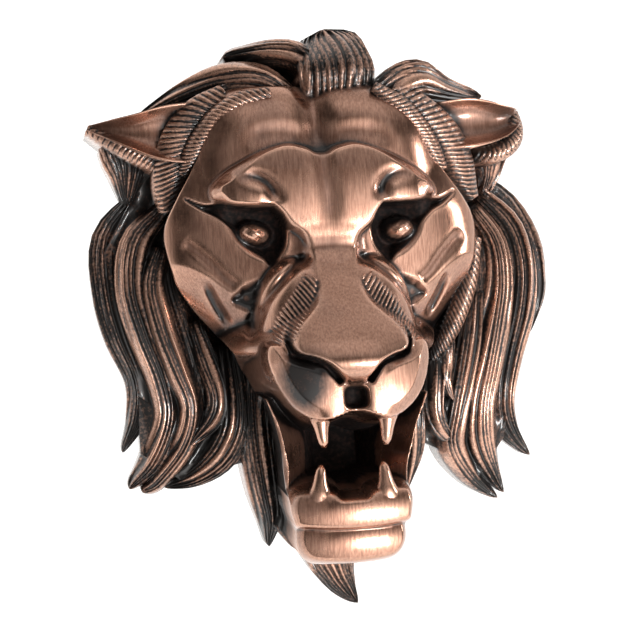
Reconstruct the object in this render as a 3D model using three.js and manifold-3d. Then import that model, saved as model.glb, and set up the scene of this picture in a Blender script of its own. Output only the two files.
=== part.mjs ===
// Lion head wall mask, cast in one piece with a flat back that lies on the wall.
// Millimetres, +Z up, the face looks along -Y, the wall is the plane y = 0.
// The origin is on the back where the mask hangs.
import * as THREE from "three";
import { mergeVertices } from "three/addons/utils/BufferGeometryUtils.js";
import Module from "manifold-3d";

const wasm = await Module();
wasm.setup();

// Driving sizes
const HEAD_HEIGHT = 332;      // crown tuft to the tail of the beard
const HEAD_WIDTH = 272;       // across the mane
const HEAD_DEPTH = 122.5;     // wall to the tip of the nose
const CASTING_WALL = 9;       // metal between the face and the hollow behind it
const MANE_BASE = 22;         // ground of the mane, which the locks lie on
const STRAND_DEPTH = 1.3;     // groove between two strands of hair
const LOCK_STRANDS = 2;       // broad strands across a lock
const FACE_COLUMNS = 34;
const FACE_ROWS = 46;
const UPPER_FANG = 18;        // length that shows below the lip
const LOWER_FANG = 17;
const FANG_WIDTH = 10.5;
const FANG_ROOT = 7;          // length buried in the jaw
const FANG_FLARE = 7;         // length over which it widens into the gum
const FANG_SPACING = 36.8;    // between the middles of a pair of fangs
const HANG_HEIGHT = 128;      // hanging point above the middle of the nose bridge
const POCKET_DIAMETER = 9;    // blind pocket for the nail
const POCKET_DEPTH = 13;
const POCKET_DROP = 12;       // pocket below the hanging point

// The carving is drawn on a head of this size and follows the driving sizes
const DRAWN = { height: 332, width: 272, depth: 122.5 };
const wide = HEAD_WIDTH / DRAWN.width;
const tall = HEAD_HEIGHT / DRAWN.height;
const deep = HEAD_DEPTH / DRAWN.depth;

const clamp = THREE.MathUtils.clamp;
const ease = (v) => { const s = clamp(v, 0, 1); return s * s * (3 - 2 * s); };
const blend = (a, b, k) => Math.max(a, b) + Math.max(k - Math.abs(a - b), 0) ** 2 / (4 * k);
const carve = (a, b, k) => -blend(-a, -b, k);

// A smooth course through rows of numbers, t from 0 to 1
function course(points, t) {
  const last = points.length - 1;
  const at = clamp(t, 0, 1) * last;
  const i = Math.min(Math.floor(at), last - 1);
  const f = at - i;
  const [b, c] = [points[i], points[i + 1]];
  const a = points[i - 1] ?? b.map((v, n) => 2 * v - c[n]);
  const d = points[i + 2] ?? c.map((v, n) => 2 * v - b[n]);
  return b.map((v, n) => 0.5 * (2 * v + (c[n] - a[n]) * f
    + (2 * a[n] - 5 * v + 4 * c[n] - d[n]) * f * f
    + (3 * v - a[n] - 3 * c[n] + d[n]) * f ** 3));
}

// Nearest place on a course in the plane: distance, side (+1 on its left) and share of its length
function stroke(points) {
  const pieces = 6 * (points.length - 1);
  const line = Array.from({ length: pieces + 1 }, (_, i) => course(points, i / pieces));
  return (x, z) => {
    let found = { distance: Infinity, side: 1, share: 0 };
    for (let i = 0; i < pieces; i++) {
      const [dx, dz] = [line[i + 1][0] - line[i][0], line[i + 1][1] - line[i][1]];
      const t = clamp(((x - line[i][0]) * dx + (z - line[i][1]) * dz) / (dx * dx + dz * dz), 0, 1);
      const [ex, ez] = [x - line[i][0] - t * dx, z - line[i][1] - t * dz];
      const distance = Math.hypot(ex, ez);
      if (distance < found.distance) {
        found = { distance, side: Math.sign(dx * ez - dz * ex), share: (i + t) / pieces };
      }
    }
    return found;
  };
}

const fade = (share, ends) => ease(share / ends[0]) * ease((1 - share) / ends[1]);

// A ridge along a course, or a groove where its height is negative
function ridge(points, width, height, ends = [0.2, 0.2], power = 2) {
  const near = stroke(points);
  return (x, z) => {
    const { distance, share } = near(x, z);
    return height * Math.exp(-((distance / width) ** power)) * fade(share, ends);
  };
}

// How far inside a closed outline a place lies, negative outside it
function inset(outline) {
  const closed = [...outline, outline[0]];
  const pieces = 6 * outline.length;
  const line = Array.from({ length: pieces + 1 }, (_, i) => course(closed, i / pieces));
  const near = stroke(closed);
  return (x, z) => {
    let within = false;
    for (let i = 0; i < pieces; i++) {
      const [[ax, az], [bx, bz]] = [line[i], line[i + 1]];
      if ((az > z) !== (bz > z) && x < ax + (z - az) * (bx - ax) / (bz - az)) within = !within;
    }
    return near(x, z).distance * (within ? 1 : -1);
  };
}

// A rounded mass over an oval
function mass(at, size, low, high, power = 2, turn = 0, full = 2) {
  const [c, s] = [Math.cos(THREE.MathUtils.degToRad(turn)), Math.sin(THREE.MathUtils.degToRad(turn))];
  return (x, z) => {
    const u = ((x - at[0]) * c + (z - at[1]) * s) / size[0];
    const v = (-(x - at[0]) * s + (z - at[1]) * c) / size[1];
    const r = (Math.abs(u) ** power + Math.abs(v) ** power) ** (1 / power);
    const inside = Math.max(1 - r ** full, 0) ** (1 / full);
    return low + (high - low) * (inside - 1.5 * Math.max(r - 1, 0));
  };
}

// A value that follows rows of [position, value], positions falling
function profile(rows) {
  return (v) => {
    let low = 0;
    let high = 1;
    for (let i = 0; i < 24; i++) {
      const middle = (low + high) / 2;
      if (course(rows, middle)[0] > v) low = middle; else high = middle;
    }
    return course(rows, low)[1];
  };
}

// Face: forms drawn for the right half, x from the middle and z from the nose bridge
const FOREHEAD = mass([0, 50], [97, 88], 26, 76, 2.4, 0, 2.4);
const FOREHEAD_LOBE = mass([28, 108], [42, 26], 48, 78, 2.3, -16, 2.2);
const FURROW = ridge([[0, 100], [9, 100.5], [20, 103], [32, 102], [46, 96]], 7, -1.8, [0.01, 0.3]);
const CHEEK_BORDER = { x: 82.6, z: 43.8, away: [0.693, -0.72] };
const CHEEK_POCKET = inset([[49.5, 19], [37, 22.5], [40, 14], [42, 6.5], [54.5, 12.5]]);
const BROW_PLATE = inset([[-6, 92], [3, 91], [9, 94], [18, 96], [28, 94.5], [38, 91.5], [49, 86], [57, 80.5],
  [63, 74], [63, 68], [57, 65], [50, 63.5], [40, 62.5], [32, 62], [27, 58], [22.5, 52], [16, 46], [13, 38],
  [8, 30], [-6, 30]]);
const LID = ridge([[32, 66], [43, 69.5], [57, 70.5]], 5.5, 2, [0.2, 0.3]);
const BROW_LINES = [
  ridge([[0, 134], [0, 108], [0, 80], [0, 50]], 6, -2.4, [0.05, 0.45]),
  ridge([[49, 78.5], [41, 79.5], [34.5, 76.5], [29.5, 70], [28, 63]], 3.2, -4.2, [0.45, 0.25]),
];
const SOCKET = inset([[30, 63], [26, 57.5], [24, 50], [24.5, 42], [28, 35.5], [33.5, 28.5], [36.5, 33], [45, 36.5],
  [52, 42.5], [56.5, 50], [61, 55.5], [68, 61], [77, 70], [67, 65.5], [57, 65.5], [50, 64], [40, 63]]);
const SOCKET_FLOOR = 62;
const EYEBALL = mass([40.5, 49], [9.5, 7.4], 50, 74, 2.2, 14);
const noseLine = profile([[80, 46], [62, 66], [52, 78], [44, 83], [36, 85], [28, 89], [18, 96.5], [8, 104],
  [0, 110], [-8, 116], [-14, 119.8], [-20, 122.4], [-25, 121.7], [-30, 118.4], [-35, 110], [-42, 88], [-60, 0]]);
const noseHalf = profile([[60, 22], [46, 15.5], [38, 14], [28, 13.5], [18, 13.5], [10, 16], [4, 21], [-1, 26],
  [-6, 29.5], [-12, 31], [-16.5, 29.5], [-19.5, 23], [-22.4, 16], [-27.2, 11], [-33, 7.5], [-45, 7]]);
const MUZZLE_SIDE = mass([15, 2], [30, 34], 60, 97, 2.6, 12, 2.4);
const LIP = inset([[-8, -33], [0, -32], [7, -30], [13, -25], [21, -20], [30, -17], [37, -12.5], [42.5, -13],
  [43.5, -21], [40, -33.5], [34.5, -43], [27, -50], [20, -52.5], [13.5, -52], [8, -50], [3, -48.6], [-8, -48.6]]);
const LIP_BEVEL = 6.5;
const LIP_PIT = { z: -41.5, half: [6.5, 5.5], depth: 8 };
const MUZZLE_LINES = [
  ridge([[13, 38], [24.5, 28], [32, 20.5], [40, 10.5], [47, -4], [49, -14]], 3, -4.5, [0.1, 0.3]),
  ridge([[26, 3], [31.5, -5], [32.8, -12.5], [29.5, -18.3], [21.5, -20.6], [15.5, -23.8], [11, -28.5], [7.5, -34]],
    2.4, -8, [0.35, 0.05], 2.6),
];
const MOUTH = { half: 13, throat: 46, rise: 0.45, bottom: -88, rim: 84, top: -42 };
const skinHalf = profile([[-30, 47], [-41, 45], [-57, 38.5], [-70, 35.3], [-80, 33.2], [-92, 33], [-134, 33]]);
const TONGUE = mass([3, -98], [17, 12], 36, 84, 2.4);
const LOWER_LIP = inset([[-8, -94.6], [0, -94.6], [7, -94.6], [10.5, -91.6], [15, -90.2], [24, -90.3], [30, -91.5],
  [32.5, -97], [32, -105], [29.8, -109.5], [16, -111.5], [0, -112.3], [-8, -112.3]]);
const CHIN = inset([[-8, -109], [14, -109], [27, -109], [29, -113], [28.7, -121], [25, -127], [18, -129.6],
  [0, -131], [-8, -131]]);
const sum = (lines, x, z) => lines.reduce((all, line) => all + line(x, z), 0);
const rollOver = (within, reach, steep) => steep * Math.max(reach - within, 0) ** 2;

// Forehead, cheeks, brow plate and eyes
function upperFace(x, z) {
  let out = blend(FOREHEAD(x, z), FOREHEAD_LOBE(x, z), 8) + FURROW(x, z);
  const cheek = 74 - 0.24 * (x - 30) - 0.12 * (40 - z);
  const below = ease((68 - z) / 12);
  out = out * (1 - below) + carve(out, cheek, 6) * below;
  const past = (x - CHEEK_BORDER.x) * CHEEK_BORDER.away[0] + (z - CHEEK_BORDER.z) * CHEEK_BORDER.away[1];
  out = carve(out, 64 - 0.9 * past - 0.012 * Math.max(past, 0) ** 2, 1.5);
  out -= 9 * ease(CHEEK_POCKET(x, z) / 3 + 0.4);
  const plate = 86 - 0.0022 * (x - 12) ** 2 - 0.004 * (z - 72) ** 2 - 0.25 * Math.max(x - 50, 0)
    - 12 * ease((44 - z) / 16) + LID(x, z) - rollOver(BROW_PLATE(x, z), 3.5, 0.3);
  out = Math.max(out, plate) + sum(BROW_LINES, x, z);
  const tail = ease((x - 48) / 16);
  const floor = SOCKET_FLOOR * (1 - tail) + (out - 8) * tail;
  const soft = 4 + 8 * ease((57 - z) / 8) * ease((x - 34) / 8);
  out -= (out - floor) * ease((SOCKET(x, z) + soft / 4) / soft);
  return blend(out, EYEBALL(x, z), 1.5);
}

// Nose and upper lip
function muzzle(x, z, under) {
  const past = Math.max(x - noseHalf(z) + 3, 0);
  const roof = noseLine(z) - 0.006 * x * x - 1.6 * past ** 2 / (past + 3);
  const within = LIP(x, z);
  const lips = 112 - 0.006 * (x - 12) ** 2 - 0.004 * (z + 30) ** 2 - 0.05 * Math.max(10 - x, 0) ** 2
    - 0.8 * Math.max(LIP_BEVEL - within, 0) * ease((x - 8) / 10) - 6 * Math.max(-within, 0);
  const pit = Math.hypot((x / LIP_PIT.half[0]) ** 2, ((z - LIP_PIT.z) / LIP_PIT.half[1]) ** 2) ** 0.5;
  const out = Math.max(blend(under, MUZZLE_SIDE(x, z), 3), lips);
  return blend(out, roof, 1.5 + 6 * ease((z - 20) / 16)) + sum(MUZZLE_LINES, x, z)
    - LIP_PIT.depth * ease((1.2 - pit) / 0.5);
}

// Skin that runs down into the open mouth, tongue, lower lip and chin
function jaws(x, z, under) {
  const half = skinHalf(z);
  const share = clamp((x - MOUTH.half) / (half - MOUTH.half), 0, 1);
  const throat = MOUTH.throat - MOUTH.rise * clamp(z - MOUTH.bottom, 0, 40);
  const skin = throat + (MOUTH.rim - throat) * share ** 0.8 - 4 * Math.max(x - half, 0)
    - 60 * ease((z - MOUTH.top) / 4);
  const lower = 106.5 - 0.004 * x * x - 0.02 * (z + 102) ** 2 - rollOver(LOWER_LIP(x, z), 2.6, 0.5);
  const chin = 102 - 0.005 * x * x - 0.02 * (z + 118) ** 2 - rollOver(CHIN(x, z), 3, 0.4);
  return Math.max(under, skin, TONGUE(x, z), lower, chin);
}

// How far the face stands out of the wall
function faceOut(side, z) {
  const x = Math.abs(side);
  return jaws(x, z, muzzle(x, z, upperFace(x, z)));
}

// Half width of the face at each height, and how far its middle leans to the right
const faceHalf = profile([[134, 42], [118, 55], [100, 62], [85, 70], [70, 80], [58, 87], [50, 89], [42, 88.5],
  [30, 86], [20, 82.5], [5, 72.5], [-8, 62], [-25, 52], [-40, 45.5], [-57, 39.5], [-72, 36], [-88, 34],
  [-100, 33.5], [-108, 31.5], [-112, 30], [-120, 30], [-127, 27], [-131.5, 21]]);
const lean = profile([[130, -6.8], [90, -4.6], [60, -1.6], [20, 0], [-20, 2], [-45, 3.3], [-65, 2.8], [-95, 1],
  [-132, 0.5]]);
const FACE_TOP = 130;
const FACE_BOTTOM = -131;
const FACE_DRAFT = 0.84;      // the sides of the face draw in towards the wall

// A closed relief: its front comes from a function over the unit square, its sides run back to the wall
function relief(columns, rows, front, draft = 1) {
  const box = new THREE.BoxGeometry(1, 1, 1, columns, 1, rows);
  const position = box.attributes.position;
  for (let i = 0; i < position.count; i++) {
    const [x, z, out] = front(position.getX(i) + 0.5, position.getZ(i) + 0.5);
    const atWall = position.getY(i) > 0;
    position.setXYZ(i, x * wide * (atWall ? draft : 1), atWall ? 0 : -out * deep, z * tall);
  }
  return solid(box);
}

function solid(geometry) {
  const plain = geometry.clone();
  plain.deleteAttribute("normal");
  plain.deleteAttribute("uv");
  const merged = mergeVertices(plain, 1e-4);
  return new wasm.Manifold(new wasm.Mesh({
    numProp: 3,
    vertProperties: new Float32Array(merged.attributes.position.array),
    triVerts: new Uint32Array(merged.index.array),
  }));
}

function face() {
  return relief(FACE_COLUMNS, FACE_ROWS, (u, v) => {
    const z = THREE.MathUtils.lerp(FACE_BOTTOM, FACE_TOP, v ** 1.1);
    const x = faceHalf(z) * (2 * u - 1);
    return [x + lean(z), z, faceOut(x, z)];
  }, FACE_DRAFT);
}

// A lock of hair: rows of [x, z, out, half width] from its root to its tip
function lock(path, rise = 7) {
  const columns = 2 * LOCK_STRANDS;
  return relief(columns, path.length, (u, v) => {
    const [x, z, out, half] = course(path, v);
    const [before, after] = [course(path, v - 0.02), course(path, v + 0.02)];
    const run = new THREE.Vector2(after[0] - before[0], after[1] - before[1]).normalize();
    const across = 2 * u - 1;
    const groove = Math.round(u * columns) % 2 === 0 ? STRAND_DEPTH * (1 - v * v) : 0;
    const crown = out - rise * Math.abs(across) ** 2.5 * Math.min(1, half / 6) - groove;
    return [x + run.y * half * across, z - run.x * half * across, crown];
  });
}

const LOCKS = {
  left: [
    [[-100, 76, 22, 5], [-118, 52, 24, 10], [-120, 22, 26, 9.5], [-115, -4, 26, 9], [-106, -30, 24, 7], [-107, -52, 20, 6], [-116, -71, 13, 1.5]],
    [[-88, 66, 32, 6], [-104, 48, 36, 9], [-108, 22, 38, 9], [-102, -4, 38, 9], [-93, -30, 36, 8.5], [-90, -52, 34, 8], [-99, -76, 28, 8], [-113, -92, 15, 2.5]],
    [[-90, 44, 38, 5], [-96, 24, 42, 8], [-92, 0, 44, 8.5], [-84, -24, 44, 8], [-77, -46, 42, 7], [-82, -68, 36, 7], [-97, -88, 25, 6], [-106, -94, 17, 2.5]],
    [[-86, 42, 30, 5], [-86, 22, 33, 7], [-80, 0, 36, 7], [-74, -24, 36, 6.5], [-72, -48, 32, 4]],
    [[-74, 2, 38, 4], [-68, -20, 44, 6], [-63, -40, 46, 5.5], [-66, -54, 43, 5.5], [-79, -68, 34, 1.2]],
    [[-55, -12, 36, 8], [-52, -40, 40, 9], [-53, -60, 40, 9.5], [-62, -76, 36, 9], [-77, -87, 28, 6], [-93, -92, 18, 1.5]],
    [[-40, -27, 40, 10], [-40, -65, 40, 10], [-37, -92, 34, 9.5], [-33, -114, 26, 7], [-34, -130, 16, 1.5]],
  ],
  right: [
    [[98, 82, 20, 5], [118, 64, 21, 8], [130, 40, 22, 9.5], [133, 16, 22, 8.5], [131, 0, 20, 6], [129, -13, 14, 2]],
    [[98, 72, 28, 6], [116, 52, 31, 9], [122, 28, 33, 9.5], [120, 2, 33, 10], [113, -26, 31, 9], [109, -50, 29, 8], [113, -68, 23, 7], [126, -86, 14, 1.8]],
    [[92, 62, 36, 6], [104, 42, 40, 8], [106, 18, 42, 9], [102, -6, 43, 10], [97, -30, 42, 10], [92, -54, 40, 10], [94, -78, 33, 10], [108, -107, 17, 2.5]],
    [[92, 12, 40, 6], [88, -12, 43, 8], [82, -36, 44, 8], [77, -58, 42, 8], [76, -76, 36, 9], [88, -95, 26, 7], [104, -110, 17, 2]],
    [[90, 52, 34, 5], [96, 34, 36, 7], [95, 12, 36, 7], [88, -8, 36, 6], [80, -22, 36, 4]],
    [[66, -18, 42, 6], [64, -38, 46, 7], [64, -56, 44, 6], [69, -68, 40, 4.5], [78, -77, 32, 1.2]],
    [[74, -8, 42, 4], [71, -26, 46, 5.5], [70, -38, 46, 4.5], [74, -50, 40, 1.2]],
    [[52, -34, 44, 5], [51, -58, 46, 6], [51, -78, 40, 5.5], [48, -101, 24, 1.2]],
  ],
  beard: [
    [[0, -108, 34, 17], [0, -130, 32, 16.5], [5, -147, 27, 11], [11, -158, 21, 7], [17.5, -167, 13, 1.8]],
  ],
  crown: [
    [[10, 122, 74, 21], [9, 137, 75, 21], [7, 149, 68, 17], [4, 162, 50, 9]],
    [[0, 132, 64, 7], [-9, 147, 64, 8], [-25, 152, 58, 7], [-52, 150, 44, 5]],
    [[-18, 125, 66, 7], [-34, 133, 66, 11], [-52, 134, 60, 11.5], [-74, 129, 48, 8], [-101, 118, 34, 2]],
    [[32, 122, 66, 9], [46, 130, 68, 12], [60, 133, 62, 12], [76, 129, 52, 8], [99, 126, 38, 4]],
  ],
};

// Ears: a hollow leaf, a fringe along its lower edge and the hair that hangs under it
const EAR_HOLLOW = -9;
const EARS = [
  [[[-66, 106, 52, 17], [-88, 106, 53, 15], [-108, 108, 50, 8.5], [-129, 112, 40, 1.2]], EAR_HOLLOW],
  [[[-84, 86, 50, 4], [-98, 93, 54, 5], [-112, 101, 52, 5], [-129, 112, 42, 2.5]], 4],
  [[[-110, 104, 40, 13], [-108, 93, 38, 12], [-108, 81, 32, 7], [-108, 69, 24, 2]], 5],
  [[[68, 107, 52, 13], [86, 108, 54, 13.5], [104, 109, 50, 10], [118, 113, 42, 4]], EAR_HOLLOW],
  [[[90, 91, 50, 4], [101, 91, 55, 5.5], [111, 97, 54, 6], [115, 106, 50, 6], [116, 117, 42, 4]], 4],
  [[[105, 98, 42, 10], [104, 88, 38, 9], [104, 78, 32, 6], [101, 67, 24, 2]], 5],
];

// Combed bands of short hair between the forehead and the ears
const BANDS = [
  [[-53, 126, 64, 7], [-69, 117, 64, 8.5], [-79, 104, 62, 10], [-84, 91, 59, 9.5], [-86, 78, 54, 8.5], [-87, 64, 45, 4]],
  [[-30, 126, 73, 3], [-46, 122, 72, 5], [-58, 114, 70, 6], [-67, 104, 68, 6], [-74, 93, 64, 5.5], [-79, 83, 58, 2.5]],
  [[40, 128, 66, 5], [55, 117, 66, 8.5], [68, 104, 64, 10], [77, 91, 60, 9.5], [83, 79, 54, 8], [90, 66, 45, 4]],
  [[28, 128, 73, 3], [43, 118, 72, 5.5], [53, 107, 70, 6], [61, 95, 67, 5.5], [69, 82, 61, 2.5]],
  [[90, 44, 46, 4], [85, 22, 48, 6], [78, 2, 48, 6], [70, -14, 46, 5], [62, -26, 42, 3]],
];

// Ground of the mane: its outline, just inside the locks
const GROUND = [[0, 148], [34, 136], [62, 136], [92, 118], [108, 104], [104, 76], [126, 50], [132, 20],
  [124, -12], [113, -44], [108, -74], [92, -96], [70, -80], [56, -72], [46, -92], [24, -132], [0, -146],
  [-22, -130], [-38, -110], [-48, -80], [-84, -88], [-106, -72], [-106, -40], [-116, 0], [-124, 40],
  [-106, 72], [-110, 104], [-88, 116], [-58, 136], [-30, 148]];

function ground() {
  const corners = GROUND.map(([x, z]) => new THREE.Vector2(x * wide, z * tall));
  const outline = new THREE.Shape(corners);
  const slab = new THREE.ExtrudeGeometry(outline, { depth: MANE_BASE, bevelEnabled: false, curveSegments: 1 });
  return solid(slab.rotateX(Math.PI / 2));
}

// A fang: a cone with a blunt tip that bends inwards, its root buried in the jaw
function fang(x, z, out, length, up) {
  const cone = new THREE.CylinderGeometry(FANG_WIDTH / 4, FANG_WIDTH / 2, length + FANG_ROOT, 10, 4);
  const position = cone.attributes.position;
  for (let i = 0; i < position.count; i++) {
    const share = position.getY(i) / (length + FANG_ROOT) + 0.5;
    const clear = Math.max(share * (length + FANG_ROOT) - FANG_ROOT, 0);
    const flare = 1 + 0.7 * Math.max(1 - clear / FANG_FLARE, 0) ** 2;
    position.setX(i, position.getX(i) * flare - Math.sign(x) * 1.6 * share ** 2);
    position.setZ(i, position.getZ(i) * (1.3 - 0.3 * share));
  }
  cone.rotateX(up ? Math.PI / 2 : -Math.PI / 2);
  const middle = z + (up ? 1 : -1) * ((length + FANG_ROOT) / 2 - FANG_ROOT) / tall;
  return solid(cone.translate(x * wide, -out * deep, middle * tall));
}

// The hollow of the casting behind the face, as oval domes that leave its wall
const HOLLOWS = [
  { at: [0, 40], size: [78, 58, 70] },
  { at: [0, -15], size: [27, 104, 28] },
  { at: [0, -111], size: [21, 90, 12] },
];

function hollow({ at, size }) {
  const dome = new THREE.SphereGeometry(1, 16, 10);
  dome.scale(size[0] * wide - CASTING_WALL / 3, size[1] * deep - CASTING_WALL / 3, size[2] * tall - CASTING_WALL / 3);
  return solid(dome.translate(at[0] * wide, 0, at[1] * tall));
}

function nailPocket() {
  const hole = new THREE.CylinderGeometry(POCKET_DIAMETER / 2, POCKET_DIAMETER / 2, 2 * POCKET_DEPTH, 16);
  return solid(hole.translate(0, 0, HANG_HEIGHT - POCKET_DROP));
}

function mask() {
  const hair = [...Object.values(LOCKS).flat(), ...BANDS].map((path) => lock(path));
  const ears = EARS.map(([path, rise]) => lock(path, rise));
  const fangs = [-FANG_SPACING / 2, FANG_SPACING / 2].flatMap((x) => [
    fang(x + lean(-60), -50, 100, UPPER_FANG, false),
    fang(x + lean(-94), -94, 99.5, LOWER_FANG, true),
  ]);
  const whole = [face(), ...hair, ...ears, ...fangs].reduce((all, piece) => all.add(piece), ground());
  return [...HOLLOWS.map(hollow), nailPocket()].reduce((all, space) => all.subtract(space), whole);
}

function geometryOf(manifold) {
  const { numProp, vertProperties, triVerts } = manifold.getMesh();
  const geometry = new THREE.BufferGeometry();
  geometry.setAttribute("position", new THREE.BufferAttribute(vertProperties, numProp));
  geometry.setIndex(new THREE.BufferAttribute(triVerts, 1));
  geometry.computeVertexNormals();
  return geometry;
}

const copper = new THREE.MeshStandardMaterial({ color: 0x8a5238, roughness: 0.35, metalness: 1 });
const casting = new THREE.Mesh(geometryOf(mask()), copper);
casting.name = "lion_mask";
casting.position.set(0, 0, -HANG_HEIGHT);

const lion = new THREE.Group();
lion.add(casting);
export default lion;
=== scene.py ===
# %% [markdown]
# # Lion head wall mask
# The real object is one metal casting about 33 cm tall: a roaring lion's head in high relief with a flat,
# hollow back. It was cast, plated with copper, darkened with a brown-black patina, rubbed bright on the
# ridges and lacquered. This lesson carves that casting again: a face, locks of hair, ears and fangs, each a
# relief that runs back to the wall, joined into one skin, and then one copper finish that knows where the
# hollows are.

# %% Load the fixed frame
import math
import bmesh
import bpy
import numpy as np
from mathutils import Matrix, Vector
from mathutils.bvhtree import BVHTree


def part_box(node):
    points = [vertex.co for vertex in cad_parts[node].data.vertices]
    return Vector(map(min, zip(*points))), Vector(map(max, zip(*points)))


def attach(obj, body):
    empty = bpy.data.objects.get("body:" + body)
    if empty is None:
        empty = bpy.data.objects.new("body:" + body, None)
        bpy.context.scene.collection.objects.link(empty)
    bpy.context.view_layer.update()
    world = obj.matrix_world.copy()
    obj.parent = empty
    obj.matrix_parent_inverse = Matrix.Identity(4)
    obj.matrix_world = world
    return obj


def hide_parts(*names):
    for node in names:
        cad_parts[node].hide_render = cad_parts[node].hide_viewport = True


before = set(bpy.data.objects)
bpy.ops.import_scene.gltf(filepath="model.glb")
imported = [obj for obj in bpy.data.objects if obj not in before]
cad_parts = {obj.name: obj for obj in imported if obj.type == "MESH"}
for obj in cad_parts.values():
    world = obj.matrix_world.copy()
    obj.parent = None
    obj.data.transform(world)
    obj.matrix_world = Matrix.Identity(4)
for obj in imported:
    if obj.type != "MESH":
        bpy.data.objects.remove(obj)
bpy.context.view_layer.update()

# %% [markdown]
# ## Sizes
# The relief is drawn in millimetres on a head of the casting's own size: x to the right, z up from the bridge
# of the nose, and "out" straight out of the wall. One function carries a drawn place into the frame, where
# the wall is y = 0 and the face looks along -Y. The scale comes from the solid model's box, so a larger
# casting gets a larger skin.

# %% From the drawing to the frame
MM = 0.001
DRAWN_LEFT, DRAWN_RIGHT = -130.4, 141.6
DRAWN_TOP, DRAWN_BOTTOM = 164.0, -168.0
DRAWN_NOSE = 122.5
low, high = (Vector(corner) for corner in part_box("lion_mask"))
wide = (high.x - low.x) / (DRAWN_RIGHT - DRAWN_LEFT)
tall = (high.z - low.z) / (DRAWN_TOP - DRAWN_BOTTOM)
deep = -low.y / DRAWN_NOSE


def place(x, out, z):
    """Drawn millimetres to frame metres."""
    return np.stack([low.x + (x - DRAWN_LEFT) * wide, -out * deep, low.z + (z - DRAWN_BOTTOM) * tall], -1)


middle = float(place(0, 0, 0)[0])
print("one drawn millimetre is", round(wide * 1000, 4), "mm wide and", round(tall * 1000, 4), "mm tall")

# %% [markdown]
# ## The carver's tools
# A relief is a height over the wall. It could be sculpted by hand, but then nobody could change it later.
# Here each tool is a small function over the whole field at once: smooth maximum and minimum blend one mass
# into another, a course is a smooth line through a few chosen points, a ridge or groove follows a course, a
# mass is a rounded lump over an oval, and an inset tells how far inside a closed outline a place lies.

# %% Blends and courses
def ease(v):
    """A soft step from 0 to 1."""
    v = np.clip(v, 0, 1)
    return v * v * (3 - 2 * v)


def blend(a, b, k):
    """The higher of two surfaces, rounded where they meet."""
    return np.maximum(a, b) + np.clip(k - np.abs(a - b), 0, None) ** 2 / (4 * k)


def carve(a, b, k):
    """The lower of two surfaces, rounded where they meet."""
    return -blend(-a, -b, k)


def course(points, t):
    """A smooth path through rows of numbers, t from 0 to 1."""
    p = np.array(points, float)
    p = np.vstack([2 * p[0] - p[1], p, 2 * p[-1] - p[-2]])
    last = len(p) - 3
    at = np.clip(np.asarray(t, float), 0, 1) * last
    i = np.minimum(at.astype(int), last - 1)
    f = (at - i)[..., None]
    a, b, c, d = p[i], p[i + 1], p[i + 2], p[i + 3]
    square = 2 * a - 5 * b + 4 * c - d
    cube = 3 * b - a - 3 * c + d
    return 0.5 * (2 * b + (c - a) * f + square * f ** 2 + cube * f ** 3)


def near(x, z, points):
    """Distance to a course, and the share of its length that lies before the nearest place."""
    pieces = 6 * (len(points) - 1)
    line = course(points, np.arange(pieces + 1) / pieces)
    best = np.full(x.shape, np.inf)
    share = np.zeros(x.shape)
    for i in range(pieces):
        (ax, az), (dx, dz) = line[i], line[i + 1] - line[i]
        t = np.clip(((x - ax) * dx + (z - az) * dz) / (dx * dx + dz * dz), 0, 1)
        ex, ez = x - ax - t * dx, z - az - t * dz
        d = ex * ex + ez * ez
        closer = d < best
        best = np.where(closer, d, best)
        share = np.where(closer, (i + t) / pieces, share)
    return np.sqrt(best), share


print("a soft step:", ease(np.linspace(0, 1, 5)).round(2))

# %% Ridges and masses
def fade(share, ends):
    """1 along the middle of a course, easing to 0 over a share of its length at each end."""
    return ease(share / ends[0]) * ease((1 - share) / ends[1])


def ridge(x, z, points, width, height, ends=(0.2, 0.2), power=2.0):
    """A ridge along a course, or a groove where its height is negative."""
    distance, share = near(x, z, points)
    return height * np.exp(-(distance / width) ** power) * fade(share, ends)


def mass(x, z, at, size, low_out, high_out, power=2.0, turn=0.0, full=2.0):
    """A rounded mass over an oval."""
    c, s = math.cos(math.radians(turn)), math.sin(math.radians(turn))
    u = ((x - at[0]) * c + (z - at[1]) * s) / size[0]
    v = (-(x - at[0]) * s + (z - at[1]) * c) / size[1]
    r = (np.abs(u) ** power + np.abs(v) ** power) ** (1 / power)
    inside = np.clip(1 - r ** full, 0, None) ** (1 / full)
    return low_out + (high_out - low_out) * (inside - 1.5 * np.clip(r - 1, 0, None))


def profile(v, rows):
    """A value that follows rows of (position, value), positions falling."""
    line = course(rows, np.linspace(0, 1, 8 * len(rows)))[::-1]
    return np.interp(v, line[:, 0], line[:, 1])


def inset(x, z, outline):
    """How far inside a closed outline each place lies, negative outside it."""
    closed = outline + outline[:1]
    line = course(closed, np.linspace(0, 1, 6 * len(outline) + 1))
    within = np.zeros(x.shape, dtype=bool)
    for (ax, az), (bx, bz) in zip(line[:-1], line[1:]):
        spans = (az > z) != (bz > z)
        rise = bz - az if bz != az else 1.0
        within ^= spans & (x < ax + (z - az) * (bx - ax) / rise)
    return near(x, z, closed)[0] * np.where(within, 1, -1)


from_middle = np.linspace(0, 10, 5)
low_dome = mass(from_middle, 0 * from_middle, at=(0, 0), size=(10, 10), low_out=0, high_out=5)
print("a mass 5 mm high and 20 mm wide, from its middle outwards:", low_dome.round(1))

# %% [markdown]
# ## The face
# The face has a left and a right half that mirror each other, so it is drawn for the right half only, from
# the forehead down: forehead and cheeks, brow plate, sockets, muzzle, jaws. In each region the mass comes
# before its pocket or crease, as a carver works, because a crease drawn before its mass is lost under it. A
# form with a crisp border is an outline: inside it the surface is high or low, and its edge rolls over in a
# few millimetres. A crease is a named course, because the patina that gathers in it follows it later.

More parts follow.
